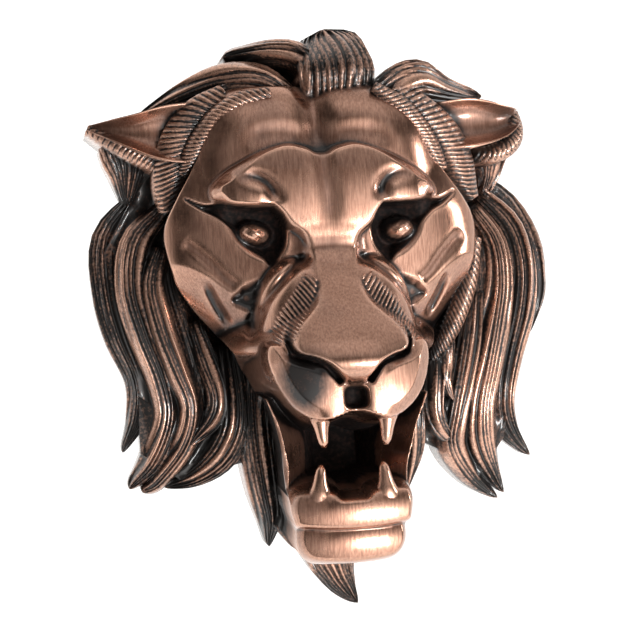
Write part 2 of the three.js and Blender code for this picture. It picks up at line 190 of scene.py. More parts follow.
# %% Forehead and cheeks
# CHEEK_AWAY points outwards, square to the edge of the cheek.
CHEEK_OUT, CHEEK_EDGE_OUT = 74, 64
CHEEK_POCKET = [(49.5, 19), (37, 22.5), (40, 14), (42, 6.5), (54.5, 12.5)]
POCKET_SINK = 5.5
FURROW = [(0, 100), (9, 100.5), (20, 103), (32, 102), (46, 96)]
CHEEK_LINE = [(80, 47), (72.5, 40.5), (64.5, 32.5), (58, 24.5), (51, 19)]
CHEEK_LENS = [(70, 26), (64, 12.5), (56, -2)]
CHEEK_BORDER = (82.6, 43.8)
CHEEK_AWAY = (0.693, -0.72)


def cheeks(x, z):
    """Forehead lobes, falling into a flat cheek that breaks outwards at the cheekbone."""
    skull = mass(x, z, at=(0, 50), size=(97, 88), low_out=26, high_out=76, power=2.4, full=2.4)
    lobe = mass(x, z, at=(28, 99), size=(42, 36), low_out=48, high_out=76, power=2.3, turn=-16, full=2.2)
    out = blend(skull, lobe, 8)
    out = out + ridge(x, z, FURROW, width=7, height=-1.8, ends=(0.01, 0.3))
    cheek = CHEEK_OUT - 0.24 * (x - 30) - 0.12 * (40 - z)
    below = ease((68 - z) / 12)
    out = out * (1 - below) + carve(out, cheek, 6) * below
    past = (x - CHEEK_BORDER[0]) * CHEEK_AWAY[0] + (z - CHEEK_BORDER[1]) * CHEEK_AWAY[1]
    out = out + ridge(x, z, CHEEK_LINE, width=3.6, height=-1.8, ends=(0.15, 0.1))
    out = carve(out, CHEEK_EDGE_OUT - 0.9 * past - 0.012 * np.clip(past, 0, None) ** 2, 1.5)
    out = out + ridge(x, z, CHEEK_LENS, width=2.3, height=-3.6, ends=(0.35, 0.3), power=3)
    return out - POCKET_SINK * ease(inset(x, z, CHEEK_POCKET) / 6 + 0.4)


print("cheek:", CHEEK_OUT, "mm out of the wall, its edge", CHEEK_EDGE_OUT)

# %% Brow plate
BROW_PLATE = [(-6, 92), (3, 91), (9, 94), (18, 96), (28, 94.5), (38, 91.5), (49, 86), (57, 80.5), (63, 74),
              (63, 68), (57, 65), (50, 63.5), (40, 62.5), (32, 62), (27, 58), (22.5, 52), (16, 46), (13, 38),
              (8, 30), (-6, 30)]
BROW_OUT = 86
BROW_BEVEL = 6.5
BROW_ROLL = 2.4
LID = [(32, 66), (43, 69.5), (57, 70.5)]
FOREHEAD_MIDDLE = [(0, 134), (0, 118), (0, 104), (0, 86)]
BROW_MIDDLE = [(0, 100), (0, 80), (0, 60), (0, 50)]
BROW_HOOK = [(50, 77), (42, 79), (34.5, 76.5), (29.5, 70), (28, 63)]


def brows(x, z, out):
    """The two brow lobes and the bridge between them, one plate with a crisp pale edge."""
    within = inset(x, z, BROW_PLATE)
    plate = BROW_OUT - 0.0022 * (x - 12) ** 2 - 0.004 * (z - 72) ** 2 - 0.25 * np.clip(x - 50, 0, None)
    plate = plate - 12 * ease((44 - z) / 16)
    plate = plate + ridge(x, z, LID, width=7, height=1.2, ends=(0.3, 0.5))
    plate = plate + ridge(x, z, BROW_MIDDLE, width=5.5, height=-2.2, ends=(0.05, 0.5))
    bevel = BROW_BEVEL * ease((x - 14) / 36) * np.maximum(ease((z - 69) / 8), ease((x - 50) / 10))
    plate = plate - 1.2 * np.clip(bevel - within, 0, None)
    roll = np.clip(BROW_ROLL - within, 0, None)
    out = np.maximum(out, plate - 0.5 * roll ** 2)
    out = out + ridge(x, z, FOREHEAD_MIDDLE, width=6.5, height=-2.6, ends=(0.05, 0.4))
    return out + ridge(x, z, BROW_HOOK, width=3.4, height=-3, ends=(0.5, 0.3))


print("brow plate:", BROW_OUT, "mm out of the wall")

# %% Sockets and eyeballs
# EYEBALL is (x, z, half width, half height).
SOCKET = [(30, 63), (26, 57.5), (24, 50), (24.8, 42), (28, 36), (33.5, 30), (37, 34.5), (44.5, 39.5),
          (50.5, 46), (54.5, 53), (60.5, 58.8), (68, 63), (76, 69.5), (67, 65.5), (57, 65.5), (50, 64),
          (40, 63)]
SOCKET_BOTTOM = 57
TAIL_DEPTH = 7
EYEBALL = (40.5, 49, 11.5, 8)


def eyes(x, z, out):
    """Deep sockets with a tail up to the temple, and a small eyeball in each."""
    within = inset(x, z, SOCKET)
    tail = ease((x - 48) / 16)
    bowl = SOCKET_BOTTOM + 0.035 * ((x - 41) ** 2 + (z - 49) ** 2)
    floor = bowl * (1 - tail) + (out - TAIL_DEPTH) * tail
    soft = 3 + 9 * ease((57 - z) / 8) * ease((x - 34) / 8)
    out = out - (out - floor) * ease((within + 1 + 0.25 * (soft - 3)) / soft)
    pits = 0.4 * np.sin(1.9 * x + 0.7) * np.sin(2.3 * z) + 0.3 * np.sin(1.1 * x - 1.4 * z)
    ball = mass(x, z, EYEBALL[:2], EYEBALL[2:], low_out=50, high_out=74, power=2.2, turn=14)
    return blend(out, ball + pits, 7)


print("sockets:", BROW_OUT - SOCKET_BOTTOM, "mm under the brow plate")

# %% Nose and upper lip
# NOSE_LINE is (z, out), NOSE_HALF is (z, half width) and LIP_PIT is (z, half width, half height).
NOSE_LINE = [(80, 46), (62, 66), (52, 78), (44, 83), (36, 85), (28, 89), (18, 96.5), (8, 104), (0, 110),
             (-8, 116), (-14, 119.8), (-20, 122), (-25, 121.8), (-30, 118.4), (-35, 110), (-42, 88), (-60, 0)]
NOSE_HALF = [(60, 22), (46, 15.5), (38, 14), (28, 13.5), (18, 13.5), (10, 16), (4, 21), (-1, 26), (-6, 29.5),
             (-12, 31), (-16.5, 29.5), (-19.5, 23), (-22.4, 16), (-27.2, 11), (-33, 6.5), (-45, 5)]
LIP = [(-8, -33), (0, -32), (7, -30), (13, -25), (21, -20), (30, -17), (37, -12.5), (42.5, -13), (43.5, -21),
       (40, -33.5), (34.5, -43), (27, -50), (20, -52.5), (13.5, -52), (8, -50), (3, -48.6), (-8, -48.6)]
LIP_OUT = 112
LIP_BEVEL = 6.5
BRIDGE_LINE = [(-24, 41), (0, 42.5), (24, 41)]
MUZZLE_EDGE = [(13, 38), (24.5, 28), (32, 20.5), (40, 10.5), (47, -4), (49, -14)]
NOSTRIL = [(26, 3), (31.5, -5), (32.8, -12.5), (29.5, -18.3), (21.5, -20.6), (15.5, -23.8), (11, -28.5),
           (7.5, -34)]
LIP_PIT = (-41.5, 6.5, 5.5)
LIP_PIT_DEPTH = 8


def muzzle(x, z, out):
    """The nose runs down a flat roof that widens into the nose pad, over the two lobes of the lip."""
    past = np.clip(x - profile(z, NOSE_HALF) + 3, 0, None)
    roof = profile(z, NOSE_LINE) - 0.006 * x * x - 1.6 * past ** 2 / (past + 3)
    pad = mass(x, z, at=(15, 2), size=(30, 34), low_out=60, high_out=97, power=2.6, turn=12, full=2.4)
    out = blend(out, pad, 3)
    within = inset(x, z, LIP)
    lips = LIP_OUT - 0.006 * (x - 12) ** 2 - 0.004 * (z + 30) ** 2 - 0.05 * np.clip(10 - x, 0, None) ** 2
    lips = lips - 0.8 * np.clip(LIP_BEVEL - within, 0, None) * ease((x - 14) / 14)
    lips = lips - 6 * np.clip(-within, 0, None)
    out = np.maximum(out, np.maximum(lips, 0))
    out = blend(out, roof, 1.5 + 6 * ease((z - 20) / 16))
    pit = ((x / LIP_PIT[1]) ** 4 + ((z - LIP_PIT[0]) / LIP_PIT[2]) ** 4) ** 0.25
    out = out - LIP_PIT_DEPTH * ease((1.2 - pit) / 0.5)
    out = out + ridge(x, z, BRIDGE_LINE, width=5.5, height=-1.4)
    out = out + ridge(x, z, MUZZLE_EDGE, width=2.2, height=-4.5, ends=(0.1, 0.3))
    return out + ridge(x, z, NOSTRIL, width=1.4, height=-8, ends=(0.4, 0.05), power=2.4)


print("nose:", max(out for z, out in NOSE_LINE), "mm out of the wall, lips", LIP_OUT)

# %% Jaws, and the whole face
# SKIN_HALF is (z, half width).
SKIN_HALF = [(-30, 47), (-41, 45), (-57, 38.5), (-70, 35.3), (-80, 33.2), (-92, 33), (-134, 33)]
LOWER_LIP = [(-8, -94.6), (0, -94.6), (7, -94.6), (10.5, -91.6), (15, -90.2), (24, -90.3), (30, -91.5),
             (32.5, -97), (32, -105), (29.8, -109.5), (16, -111.5), (0, -112.3), (-8, -112.3)]
LOWER_LIP_OUT = 106.5
CHIN = [(-8, -109), (14, -109), (27, -109), (29, -113), (28.7, -121), (25, -127), (18, -129.6), (0, -131),
        (-8, -131)]
CHIN_OUT = 102
THROAT_OUT, RIM_OUT, MOUTH_HALF = 46, 84, 13
MIDDLE_SOFT = 2.5


def jaws(x, z, out):
    """Skin that runs from the jaws down into the open mouth, the lower lip and the chin."""
    half = profile(z, SKIN_HALF)
    share = np.clip((x - MOUTH_HALF) / (half - MOUTH_HALF), 0, 1)
    throat = THROAT_OUT - 0.45 * np.clip(z + 88, 0, 40)
    skin = throat + (RIM_OUT - throat) * share ** 0.8 - 4 * np.clip(x - half, 0, None)
    skin = skin - 60 * ease((z + 42) / 4)
    tongue = mass(x, z, at=(3, -98), size=(17, 12), low_out=36, high_out=84, power=2.4)
    tongue = tongue + 1.4 * np.sin(1.1 * x + 2) * np.sin(1.3 * z)
    out = np.maximum(out, np.maximum(skin, tongue))
    lower = LOWER_LIP_OUT - 0.004 * x * x - 0.02 * (z + 102) ** 2
    lower = lower - 0.5 * np.clip(2.6 - inset(x, z, LOWER_LIP), 0, None) ** 2
    out = np.maximum(out, np.maximum(lower, 0))
    chin = CHIN_OUT - 0.005 * x * x - 0.02 * (z + 118) ** 2
    chin = chin - 0.4 * np.clip(3 - inset(x, z, CHIN), 0, None) ** 2
    return np.maximum(out, np.maximum(chin, 0))


def face_out(side, z):
    """How far the face stands out of the wall, its two halves meeting in a soft middle."""
    x = np.hypot(side, MIDDLE_SOFT)
    return jaws(x, z, muzzle(x, z, eyes(x, z, brows(x, z, cheeks(x, z)))))


down_the_middle = np.array([120.0, 80.0, 40.0, 0.0, -20.0, -70.0, -120.0])
print("out of the wall down the middle:", face_out(0 * down_the_middle, down_the_middle).round(1))

# %% [markdown]
# ## A relief that is a closed solid
# Every form starts as a flat grid. Its vertices are moved to the carved front, its rim is extruded straight
# back to the wall and the back is closed. Closed solids can be joined and hollowed with booleans, which a
# loose sheet can't.

# %% Relief from a grid
def solid_object(name, bm):
    """A closed bmesh becomes an object whose faces point out."""
    bmesh.ops.recalc_face_normals(bm, faces=bm.faces)
    mesh = bpy.data.meshes.new(name)
    bm.to_mesh(mesh)
    bm.free()
    made = bpy.data.objects.new(name, mesh)
    bpy.context.scene.collection.objects.link(made)
    return made


def corners_of(parts):
    """The vertices among what an operator made."""
    return [part for part in parts if isinstance(part, bmesh.types.BMVert)]


def relief(name, columns, rows, front, draft=1.0):
    """A grid with its front carved by a function of u and v, its sides drawn in by the draft, and a back."""
    bm = bmesh.new()
    bmesh.ops.create_grid(bm, x_segments=columns, y_segments=rows, size=1)
    flat = np.array([v.co[:2] for v in bm.verts]) / 2 + 0.5
    for vert, spot in zip(bm.verts, place(*front(flat[:, 0], flat[:, 1]))):
        vert.co = spot
    rim = [edge for edge in bm.edges if edge.is_boundary]
    sides = bmesh.ops.extrude_edge_only(bm, edges=rim)["geom"]
    for vert in corners_of(sides):
        vert.co.x = middle + (vert.co.x - middle) * draft
        vert.co.y = 0
    closed = bmesh.ops.holes_fill(bm, edges=[edge for edge in bm.edges if edge.is_boundary], sides=0)
    bmesh.ops.triangulate(bm, faces=closed["faces"])
    return solid_object(name, bm)


# %% The face as a relief
# FACE_HALF is (z, half width) and LEAN is (z, how far the middle lies to the right).
FACE_HALF = [(134, 42), (118, 55), (100, 62), (85, 70), (70, 80), (58, 87), (50, 89), (42, 88.5), (30, 86),
             (20, 82.5), (5, 72.5), (-8, 62), (-25, 52), (-40, 45.5), (-57, 39.5), (-72, 36), (-88, 34),
             (-100, 33.5), (-108, 31.5), (-112, 30), (-120, 30), (-127, 27), (-131.5, 21)]
FACE_TOP, FACE_BOTTOM = 130, -131
FACE_COLUMNS, FACE_ROWS = 190, 290
FACE_DRAFT = 0.84
LEAN = [(130, -6.8), (90, -4.6), (60, -1.6), (20, 0), (-20, 2), (-45, 3.3), (-65, 2.8), (-95, 1), (-132, 0.5)]


def lean(z):
    """The head leans: its brow lies to the left of its lips."""
    return profile(z, LEAN)


def face_front(u, v):
    """The carved front, from places in a unit square."""
    z = FACE_BOTTOM + (FACE_TOP - FACE_BOTTOM) * v
    x = profile(z, FACE_HALF) * (2 * u - 1)
    return x + lean(z), face_out(x, z), z


solids = [relief("face", FACE_COLUMNS, FACE_ROWS, face_front, FACE_DRAFT)]
print("face:", len(solids[0].data.polygons), "faces")

# %% [markdown]
# ## Hair
# The mane is made of swept locks. Each follows a course of rows (x, z, out, half width) from its root to its
# tip and has a rounded section cut into strands about 3.4 mm apart, the width of the strands on the casting.
# Curves with a bevel would give round ropes. A relief gives the flat, combed look of cast hair. Short hair is
# combed across its course instead, in the bands beside the forehead and under the ears.

# %% Along a course and across it
def along_course(path, u, v, tip=0.0):
    """The place on a course, how far across it lies and its half width, which rounds off over the tip."""
    at = course(path, v)
    if tip:
        at[:, 3] *= np.sqrt(1.02 - np.clip((v - 1 + tip) / tip, 0, 1) ** 2)
    run = course(path, v + 0.02)[:, :2] - course(path, v - 0.02)[:, :2]
    run = run / np.linalg.norm(run, axis=1)[:, None]
    across = 2 * u - 1
    x = at[:, 0] + run[:, 1] * at[:, 3] * across
    z = at[:, 1] - run[:, 0] * at[:, 3] * across
    return x, z, at[:, 2], at[:, 3], across


def length_of(path):
    """The length of a course, in millimetres."""
    return np.hypot(*np.diff(course(path, np.linspace(0, 1, 40))[:, :2], axis=0).T).sum()


def groove(phase):
    """Rounded ridges with grooves between them, 0 on a ridge and 1 in a groove."""
    return 1 - np.abs(np.sin(np.pi * phase))


def rounded(out, rise, across, half):
    """A section that falls off to both sides by its rise, and less where the hair is narrow."""
    return out - rise * np.abs(across) ** 2.5 * np.minimum(1, half / 6)


print("depth from one strand to the next:", groove(np.linspace(0.5, 1.5, 5)).round(2))

# %% A lock of hair
# The rows of the grid crowd together towards the tip, where the lock narrows.
STRAND = 3.4
STRAND_DEPTH = 2.8
ROW_STEP = 5.0
TIP_LENGTH = 6
TIP_CROWDING = 1.4
rng = np.random.default_rng(7)


def lock(name, path, rise=7.0, strand=STRAND, cut=STRAND_DEPTH):
    """A lock combed along its length, each strand a little higher or lower than the next."""
    widest = max(row[3] for row in path)
    length = length_of(path)
    strands = max(2, round(2 * widest / strand))
    jitter = rng.uniform(-0.5, 0.5, strands + 2)
    bend = rng.uniform(0, 6.28)

    def front(u, v):
        v = 1 - (1 - v) ** TIP_CROWDING
        x, z, out, half, across = along_course(path, u, v, TIP_LENGTH / length)
        phase = strands * u + 0.25 * np.sin(5 * v + bend) + 0.4 * np.sin(9 * u + 2 * v + bend)
        own = jitter[np.clip(phase.astype(int), 0, strands)]
        inside = ease(half / 4)
        combed = groove(phase) + 0.5 + own * (1 - groove(phase))
        return x, rounded(out, rise, across, half) - cut * inside * combed, z

    return relief(name, 5 * strands, max(6, round(length / ROW_STEP)), front)


print("strands:", STRAND, "mm apart,", STRAND_DEPTH, "mm deep")

# %% A band of short hair
def fringe(name, path, rise=4.0, strand=3.0, slant=0.4, cut=1.2, columns=10):
    """A band of short hair combed across its length."""
    count = length_of(path) / strand

    def front(u, v):
        x, z, out, half, across = along_course(path, u, v)
        phase = count * v + slant * across * half / strand + 0.5 * across ** 2
        edge = ease((1 - np.abs(across)) / 0.25 + 0.3)
        return x, rounded(out, rise, across, half) - cut * groove(phase) * edge, z

    return relief(name, columns, max(12, round(5 * count)), front)


# %% [markdown]
# ## Mane, beard and crown
# The locks lie over each other like tiles: the outer ones are low and go to the wall, the inner ones stand
# higher and tuck under the cheeks. Left and right are drawn apart, because the carver didn't mirror them.

# %% The mane, beard and crown
LEFT = [
    [(-100, 76, 22, 5), (-118, 52, 24, 10), (-120, 22, 26, 9.5), (-115, -4, 26, 9), (-106, -30, 24, 7),
     (-107, -52, 20, 6), (-116, -71, 13, 1.5)],
    [(-88, 66, 32, 6), (-104, 48, 36, 9), (-108, 22, 38, 9), (-102, -4, 38, 9), (-93, -30, 36, 8.5),
     (-90, -52, 34, 8), (-99, -76, 28, 8), (-113, -92, 15, 2.5)],
    [(-90, 44, 38, 5), (-96, 24, 42, 8), (-92, 0, 44, 8.5), (-84, -24, 44, 8), (-77, -46, 42, 7),
     (-82, -68, 36, 7), (-97, -88, 25, 6), (-106, -94, 17, 2.5)],
    [(-86, 42, 30, 5), (-86, 22, 33, 7), (-80, 0, 36, 7), (-74, -24, 36, 6.5), (-72, -48, 32, 4)],
    [(-74, 2, 38, 4), (-68, -20, 44, 6), (-63, -40, 46, 5.5), (-66, -54, 43, 5.5), (-79, -68, 34, 1.2)],
    [(-55, -12, 36, 8), (-52, -40, 40, 9), (-53, -60, 40, 9.5), (-62, -76, 36, 9), (-77, -87, 28, 6),
     (-93, -92, 18, 1.5)],
    [(-40, -30, 40, 9), (-40, -65, 40, 10), (-37, -92, 34, 9.5), (-33, -114, 26, 7), (-34, -130, 16, 1.5)],
]
RIGHT = [
    [(98, 82, 20, 5), (118, 64, 21, 8), (130, 40, 22, 9.5), (133, 16, 22, 8.5), (131, 0, 20, 6),
     (129, -13, 14, 2)],
    [(98, 72, 28, 6), (116, 52, 31, 9), (122, 28, 33, 9.5), (120, 2, 33, 10), (113, -26, 31, 9),
     (109, -50, 29, 8), (113, -68, 23, 7), (126, -86, 14, 1.8)],
    [(92, 62, 36, 6), (104, 42, 40, 8), (106, 18, 42, 9), (102, -6, 43, 10), (97, -30, 42, 10),
     (92, -54, 40, 10), (94, -78, 33, 10), (108, -107, 17, 2.5)],
    [(92, 12, 40, 6), (88, -12, 43, 8), (82, -36, 44, 8), (77, -58, 42, 8), (76, -76, 36, 9),
     (88, -95, 26, 7), (104, -110, 17, 2)],
    [(90, 52, 34, 5), (96, 34, 36, 7), (95, 12, 36, 7), (88, -8, 36, 6), (80, -22, 36, 4)],
    [(66, -18, 42, 6), (64, -38, 46, 7), (64, -56, 44, 6), (69, -68, 40, 4.5), (78, -77, 32, 1.2)],
    [(74, -8, 42, 4), (71, -26, 46, 5.5), (70, -38, 46, 4.5), (74, -50, 40, 1.2)],
    [(52, -34, 44, 5), (51, -58, 46, 6), (51, -78, 40, 5.5), (48, -101, 24, 1.2)],
]
BEARD = [
    [(0, -108, 34, 17), (0, -130, 32, 16.5), (5, -147, 27, 11), (11, -158, 21, 7), (17.5, -167, 13, 1.8)],
]
CROWN = [
    [(10, 122, 66, 20), (9, 137, 75, 21), (8, 150, 68, 19.5), (5, 164, 50, 15)],
    [(0, 132, 64, 7), (-9, 147, 64, 8), (-25, 152, 58, 7), (-52, 150, 44, 5)],
    [(-18, 125, 66, 7), (-34, 133, 66, 11), (-52, 134, 60, 11.5), (-74, 129, 48, 8), (-101, 118, 34, 2)],
    [(32, 122, 66, 9), (46, 130, 68, 12), (60, 133, 62, 12), (76, 129, 52, 8), (99, 126, 38, 4)],
]
CROWN_STRANDS = {"strand": 4.4, "cut": 3.6}
for group, paths in (("left", LEFT), ("right", RIGHT), ("beard", BEARD), ("crown", CROWN)):
    bold = CROWN_STRANDS if group == "crown" else {}
    solids += [lock(f"{group}_{number}", path, **bold) for number, path in enumerate(paths)]
print("hair:", sum(len(made.data.polygons) for made in solids[1:]), "faces in", len(solids) - 1, "locks")

# %% [markdown]
# ## Whiskers, ears and combed bands
# The whiskers are a patch of short grooves laid over each side of the muzzle, so their front is the face's
# own surface with the grooves cut into it. An ear is a smooth leaf with a hollow section, with a fringe along
# its lower edge and a lock hanging under it. Bands of short hair frame the forehead and the right cheek.

# %% Whiskers
WHISKERS = [(14, 26, 4), (19, 16.5, 7.5), (24, 9, 8.5), (29.5, 1.5, 8.5), (33.5, -6, 8), (37, -13, 4)]
WHISKER_GAP, WHISKER_RISE, WHISKER_CUT = 2.5, 1.2, 2.2
WHISKER_SLANT = 0.4


def whiskers(name, side):
    """A patch of short grooves laid over the muzzle."""
    path = [(x, z, 0, half) for x, z, half in WHISKERS]
    count = length_of(path) / WHISKER_GAP

    def front(u, v):
        x, z, _, half, across = along_course(path, u, v)
        phase = count * v - WHISKER_SLANT * across * half / WHISKER_GAP
        edge = ease((np.abs(across) - 0.45) / 0.55) + ease((0.06 - v) / 0.06) + ease((v - 0.94) / 0.06)
        out = face_out(x, z) + WHISKER_RISE - WHISKER_CUT * groove(phase) - 2.5 * edge
        return side * x + lean(z), out, z

    return relief(name, 16, round(6 * count), front)


solids += [whiskers("whiskers_left", -1), whiskers("whiskers_right", 1)]
print("whiskers:", WHISKER_GAP, "mm apart")

# %% Ears and combed bands
# A band is (comb, slant, course), and a comb is (strand spacing, columns of the grid).
EARS = [
    [(-66, 106, 52, 17), (-88, 106, 53, 15), (-108, 108, 50, 8.5), (-129, 112, 40, 1.2)],
    [(68, 107, 52, 13), (86, 108, 54, 13.5), (104, 109, 50, 10), (118, 113, 42, 4)],
]
EAR_FRINGES = [
    [(-84, 86, 50, 4), (-98, 93, 54, 5), (-112, 101, 52, 5), (-129, 112, 42, 2.5)],
    [(90, 91, 50, 4), (101, 91, 55, 5.5), (111, 97, 54, 6), (115, 106, 50, 6), (116, 117, 42, 4)],
]
EAR_HAIR = [
    [(-110, 104, 40, 13), (-108, 93, 38, 12), (-108, 81, 32, 7), (-108, 69, 24, 2)],
    [(105, 98, 42, 10), (104, 88, 38, 9), (104, 78, 32, 6), (101, 67, 24, 2)],
]
WIDE_COMB, FINE_COMB = (3.1, 18), (2.6, 12)
BANDS = [
    (WIDE_COMB, -0.62, [(-53, 126, 64, 7), (-69, 117, 64, 8.5), (-79, 104, 62, 10), (-84, 91, 59, 9.5),
                        (-86, 78, 54, 8.5), (-87, 64, 45, 4)]),
    (FINE_COMB, -0.8, [(-30, 126, 73, 3), (-46, 122, 72, 5), (-58, 114, 70, 6), (-67, 104, 68, 6),
                       (-74, 93, 64, 5.5), (-79, 83, 58, 2.5)]),
    (WIDE_COMB, 0.62, [(40, 128, 66, 5), (55, 117, 66, 8.5), (68, 104, 64, 10), (77, 91, 60, 9.5),
                       (83, 79, 54, 8), (90, 66, 45, 4)]),
    (FINE_COMB, 0.8, [(28, 128, 73, 3), (43, 118, 72, 5.5), (53, 107, 70, 6), (61, 95, 67, 5.5),
                      (69, 82, 61, 2.5)]),
    (WIDE_COMB, 0.9, [(90, 44, 46, 4), (85, 22, 48, 6), (78, 2, 48, 6), (70, -14, 46, 5),
                      (62, -26, 42, 3)]),
]
EAR_HOLLOW = 9


def ear(name, path):
    """A smooth leaf, its section rounded the other way, so that it is hollow."""
    def front(u, v):
        x, z, out, half, across = along_course(path, u, v)
        return x, rounded(out, -EAR_HOLLOW, across, half), z

    return relief(name, 24, 24, front)


solids += [ear(f"ear_{number}", path) for number, path in enumerate(EARS)]
solids += [fringe(f"ear_fringe_{number}", path) for number, path in enumerate(EAR_FRINGES)]
solids += [lock(f"ear_hair_{number}", path, rise=5.0) for number, path in enumerate(EAR_HAIR)]
for number, ((strand, columns), slant, path) in enumerate(BANDS):
    cut = 0.6 * strand
    solids.append(fringe(f"band_{number}", path, 5.0, strand, slant, cut, columns))
print("ears:", len(EARS), "and combed bands:", len(BANDS) + len(EAR_FRINGES))

# %% [markdown]
# ## Ground of the mane
# The locks overlap but leave chinks between them. In a real casting the metal is closed there, so a low slab
# with an outline just inside the locks lies under them all. A flat face extruded to the wall is enough.

# %% Ground slab
GROUND = [(0, 148), (34, 136), (62, 136), (92, 118), (108, 104), (104, 76), (126, 50), (132, 20), (124, -12),
          (113, -44), (108, -74), (92, -96), (70, -80), (56, -72), (46, -92), (24, -132), (0, -146),
          (-22, -130), (-38, -110), (-48, -80), (-84, -88), (-106, -72), (-106, -40), (-116, 0), (-124, 40),
          (-106, 72), (-110, 104), (-88, 116), (-58, 136), (-30, 148)]
GROUND_OUT = 22


def ground():
    """A slab under the locks, so that no gap between them shows the wall."""
    bm = bmesh.new()
    corners = [bm.verts.new(place(float(x), GROUND_OUT, float(z))) for x, z in GROUND]
    slab = bmesh.ops.contextual_create(bm, geom=corners)["faces"]
    back = bmesh.ops.extrude_face_region(bm, geom=slab)["geom"]
    for vert in corners_of(back):
        vert.co.y = 0
    bmesh.ops.triangulate(bm, faces=bm.faces)
    return solid_object("ground", bm)


solids.append(ground())
print("ground:", GROUND_OUT, "mm over the wall")

# %% [markdown]
# ## Fangs
# Each fang is a short cone with a blunt tip that widens into the gum. It starts as a bmesh cone standing on
# its root, cut into rings, and every ring is then moved: narrower towards the tip, wider at the gum, and bent
# towards the middle of the mouth. Its root is buried in the jaw, so that the union leaves no gap.

# %% Four fangs
# A gum is (height, out of the wall), and the jaws lean, so the middle of each pair is worked out too.
FANG_SPACING = 36.8
FANG_BEND = 1.6
FANG_WIDTH = 10.5
FANG_ROOT = 7
FANG_FLARE = 12
UPPER_FANG, LOWER_FANG = 18, 17
UPPER_GUM, LOWER_GUM = (-50, 100), (-94, 99.5)
UPPER_MIDDLE, LOWER_MIDDLE = lean(-60), lean(-94)


def fang(name, x, z, out, length, up):
    """A blunt cone that bends inwards, its root buried in the jaw."""
    whole = length + FANG_ROOT
    bm = bmesh.new()
    bmesh.ops.create_cone(bm, cap_ends=True, segments=20, radius1=FANG_WIDTH / 2, radius2=FANG_WIDTH / 4,
                          depth=whole)
    tall_edges = [edge for edge in bm.edges if abs(edge.verts[0].co.z - edge.verts[1].co.z) > 1]
    bmesh.ops.subdivide_edges(bm, edges=tall_edges, cuts=8, use_grid_fill=True)
    for vert in bm.verts:
        share = vert.co.z / whole + 0.5
        round_off = math.sqrt(max(0.0, 1 - max(0.0, (share - 0.8) / 0.2) ** 2 * 0.75))
        flare = 1 + 0.7 * max(0.0, 1 - max(0.0, share * whole - FANG_ROOT) / FANG_FLARE) ** 2
        sideways = vert.co.x * round_off * flare - math.copysign(FANG_BEND, x) * share ** 2
        buried = max(0.0, 1 - share * whole / FANG_ROOT)
        forward = vert.co.y * round_off * (1.3 - 0.3 * share) * (1 - 0.6 * buried)
        climb = (share * whole - FANG_ROOT) * (1 if up else -1)
        vert.co = place(x + sideways, out - forward, z + climb)
    return solid_object(name, bm)


for number, x in enumerate((-FANG_SPACING / 2, FANG_SPACING / 2)):
    solids.append(fang(f"upper_fang_{number}", x + UPPER_MIDDLE, *UPPER_GUM, UPPER_FANG, up=False))
    solids.append(fang(f"lower_fang_{number}", x + LOWER_MIDDLE, *LOWER_GUM, LOWER_FANG, up=True))
print("fangs:", UPPER_FANG, "mm above and", LOWER_FANG, "mm below")

# %% [markdown]
# ## One casting
# On the real mask everything is one piece of metal, so all the closed forms are joined with a boolean union,
# and the hollow back is cut out with oval domes, as the core of the mould leaves it. A blind pocket under the
# hanging point takes the head of a nail.

# %% Hollows and nail pocket
# A hollow is ((x, z), (half width, depth, half height)), before a third of the wall comes off all round.
HOLLOWS = [((0, 40), (78, 58, 70)), ((0, -15), (27, 104, 28)), ((0, -111), (21, 90, 12))]
CASTING_WALL = 9
POCKET_RADIUS, POCKET_DEPTH, POCKET_DROP = 4.5, 13, 12


def hollow(name, at, size):
    """An oval dome under the metal, its middle on the wall."""
    bm = bmesh.new()
    bmesh.ops.create_uvsphere(bm, u_segments=48, v_segments=24, radius=1)
    for vert in bm.verts:
        spot = [vert.co[axis] * (size[axis] - CASTING_WALL / 3) for axis in range(3)]
        vert.co = place(at[0] + spot[0], -spot[1], at[1] + spot[2])
    return solid_object(name, bm)


def nail_pocket():
    """A round bar half sunk in the back, below the hanging point."""
    bm = bmesh.new()
    turn = Matrix.Translation((0, 0, -POCKET_DROP * MM)) @ Matrix.Rotation(math.pi / 2, 4, "X")
    bmesh.ops.create_cone(bm, cap_ends=True, segments=24, radius1=POCKET_RADIUS * MM,
                          radius2=POCKET_RADIUS * MM, depth=2 * POCKET_DEPTH * MM, matrix=turn)
    return solid_object("nail_pocket", bm)


cores = [hollow(f"core_{number}", at, size) for number, (at, size) in enumerate(HOLLOWS)] + [nail_pocket()]
print("cores:", [core.name for core in cores])

# %% Union and difference
def combine(target, others, operation):
    """One boolean with a whole collection, applied to the mesh."""
    group = bpy.data.collections.new(operation.lower())
    for other in others:
        group.objects.link(other)
    modifier = target.modifiers.new(operation.lower(), "BOOLEAN")
    modifier.operand_type = "COLLECTION"
    modifier.collection = group
    modifier.operation = operation
    modifier.solver = "MANIFOLD"
    depsgraph = bpy.context.evaluated_depsgraph_get()
    mesh = bpy.data.meshes.new_from_object(target.evaluated_get(depsgraph))
    target.modifiers.clear()
    target.data = mesh
    bpy.data.collections.remove(group)
    for other in others:
        bpy.data.objects.remove(other)


def tree_of(objects):
    """One search tree over the faces of several objects."""
    corners, faces = [], []
    for made in objects:
        faces += [[len(corners) + i for i in polygon.vertices] for polygon in made.data.polygons]
        corners += [vert.co.copy() for vert in made.data.vertices]
    return BVHTree.FromPolygons(corners, faces)


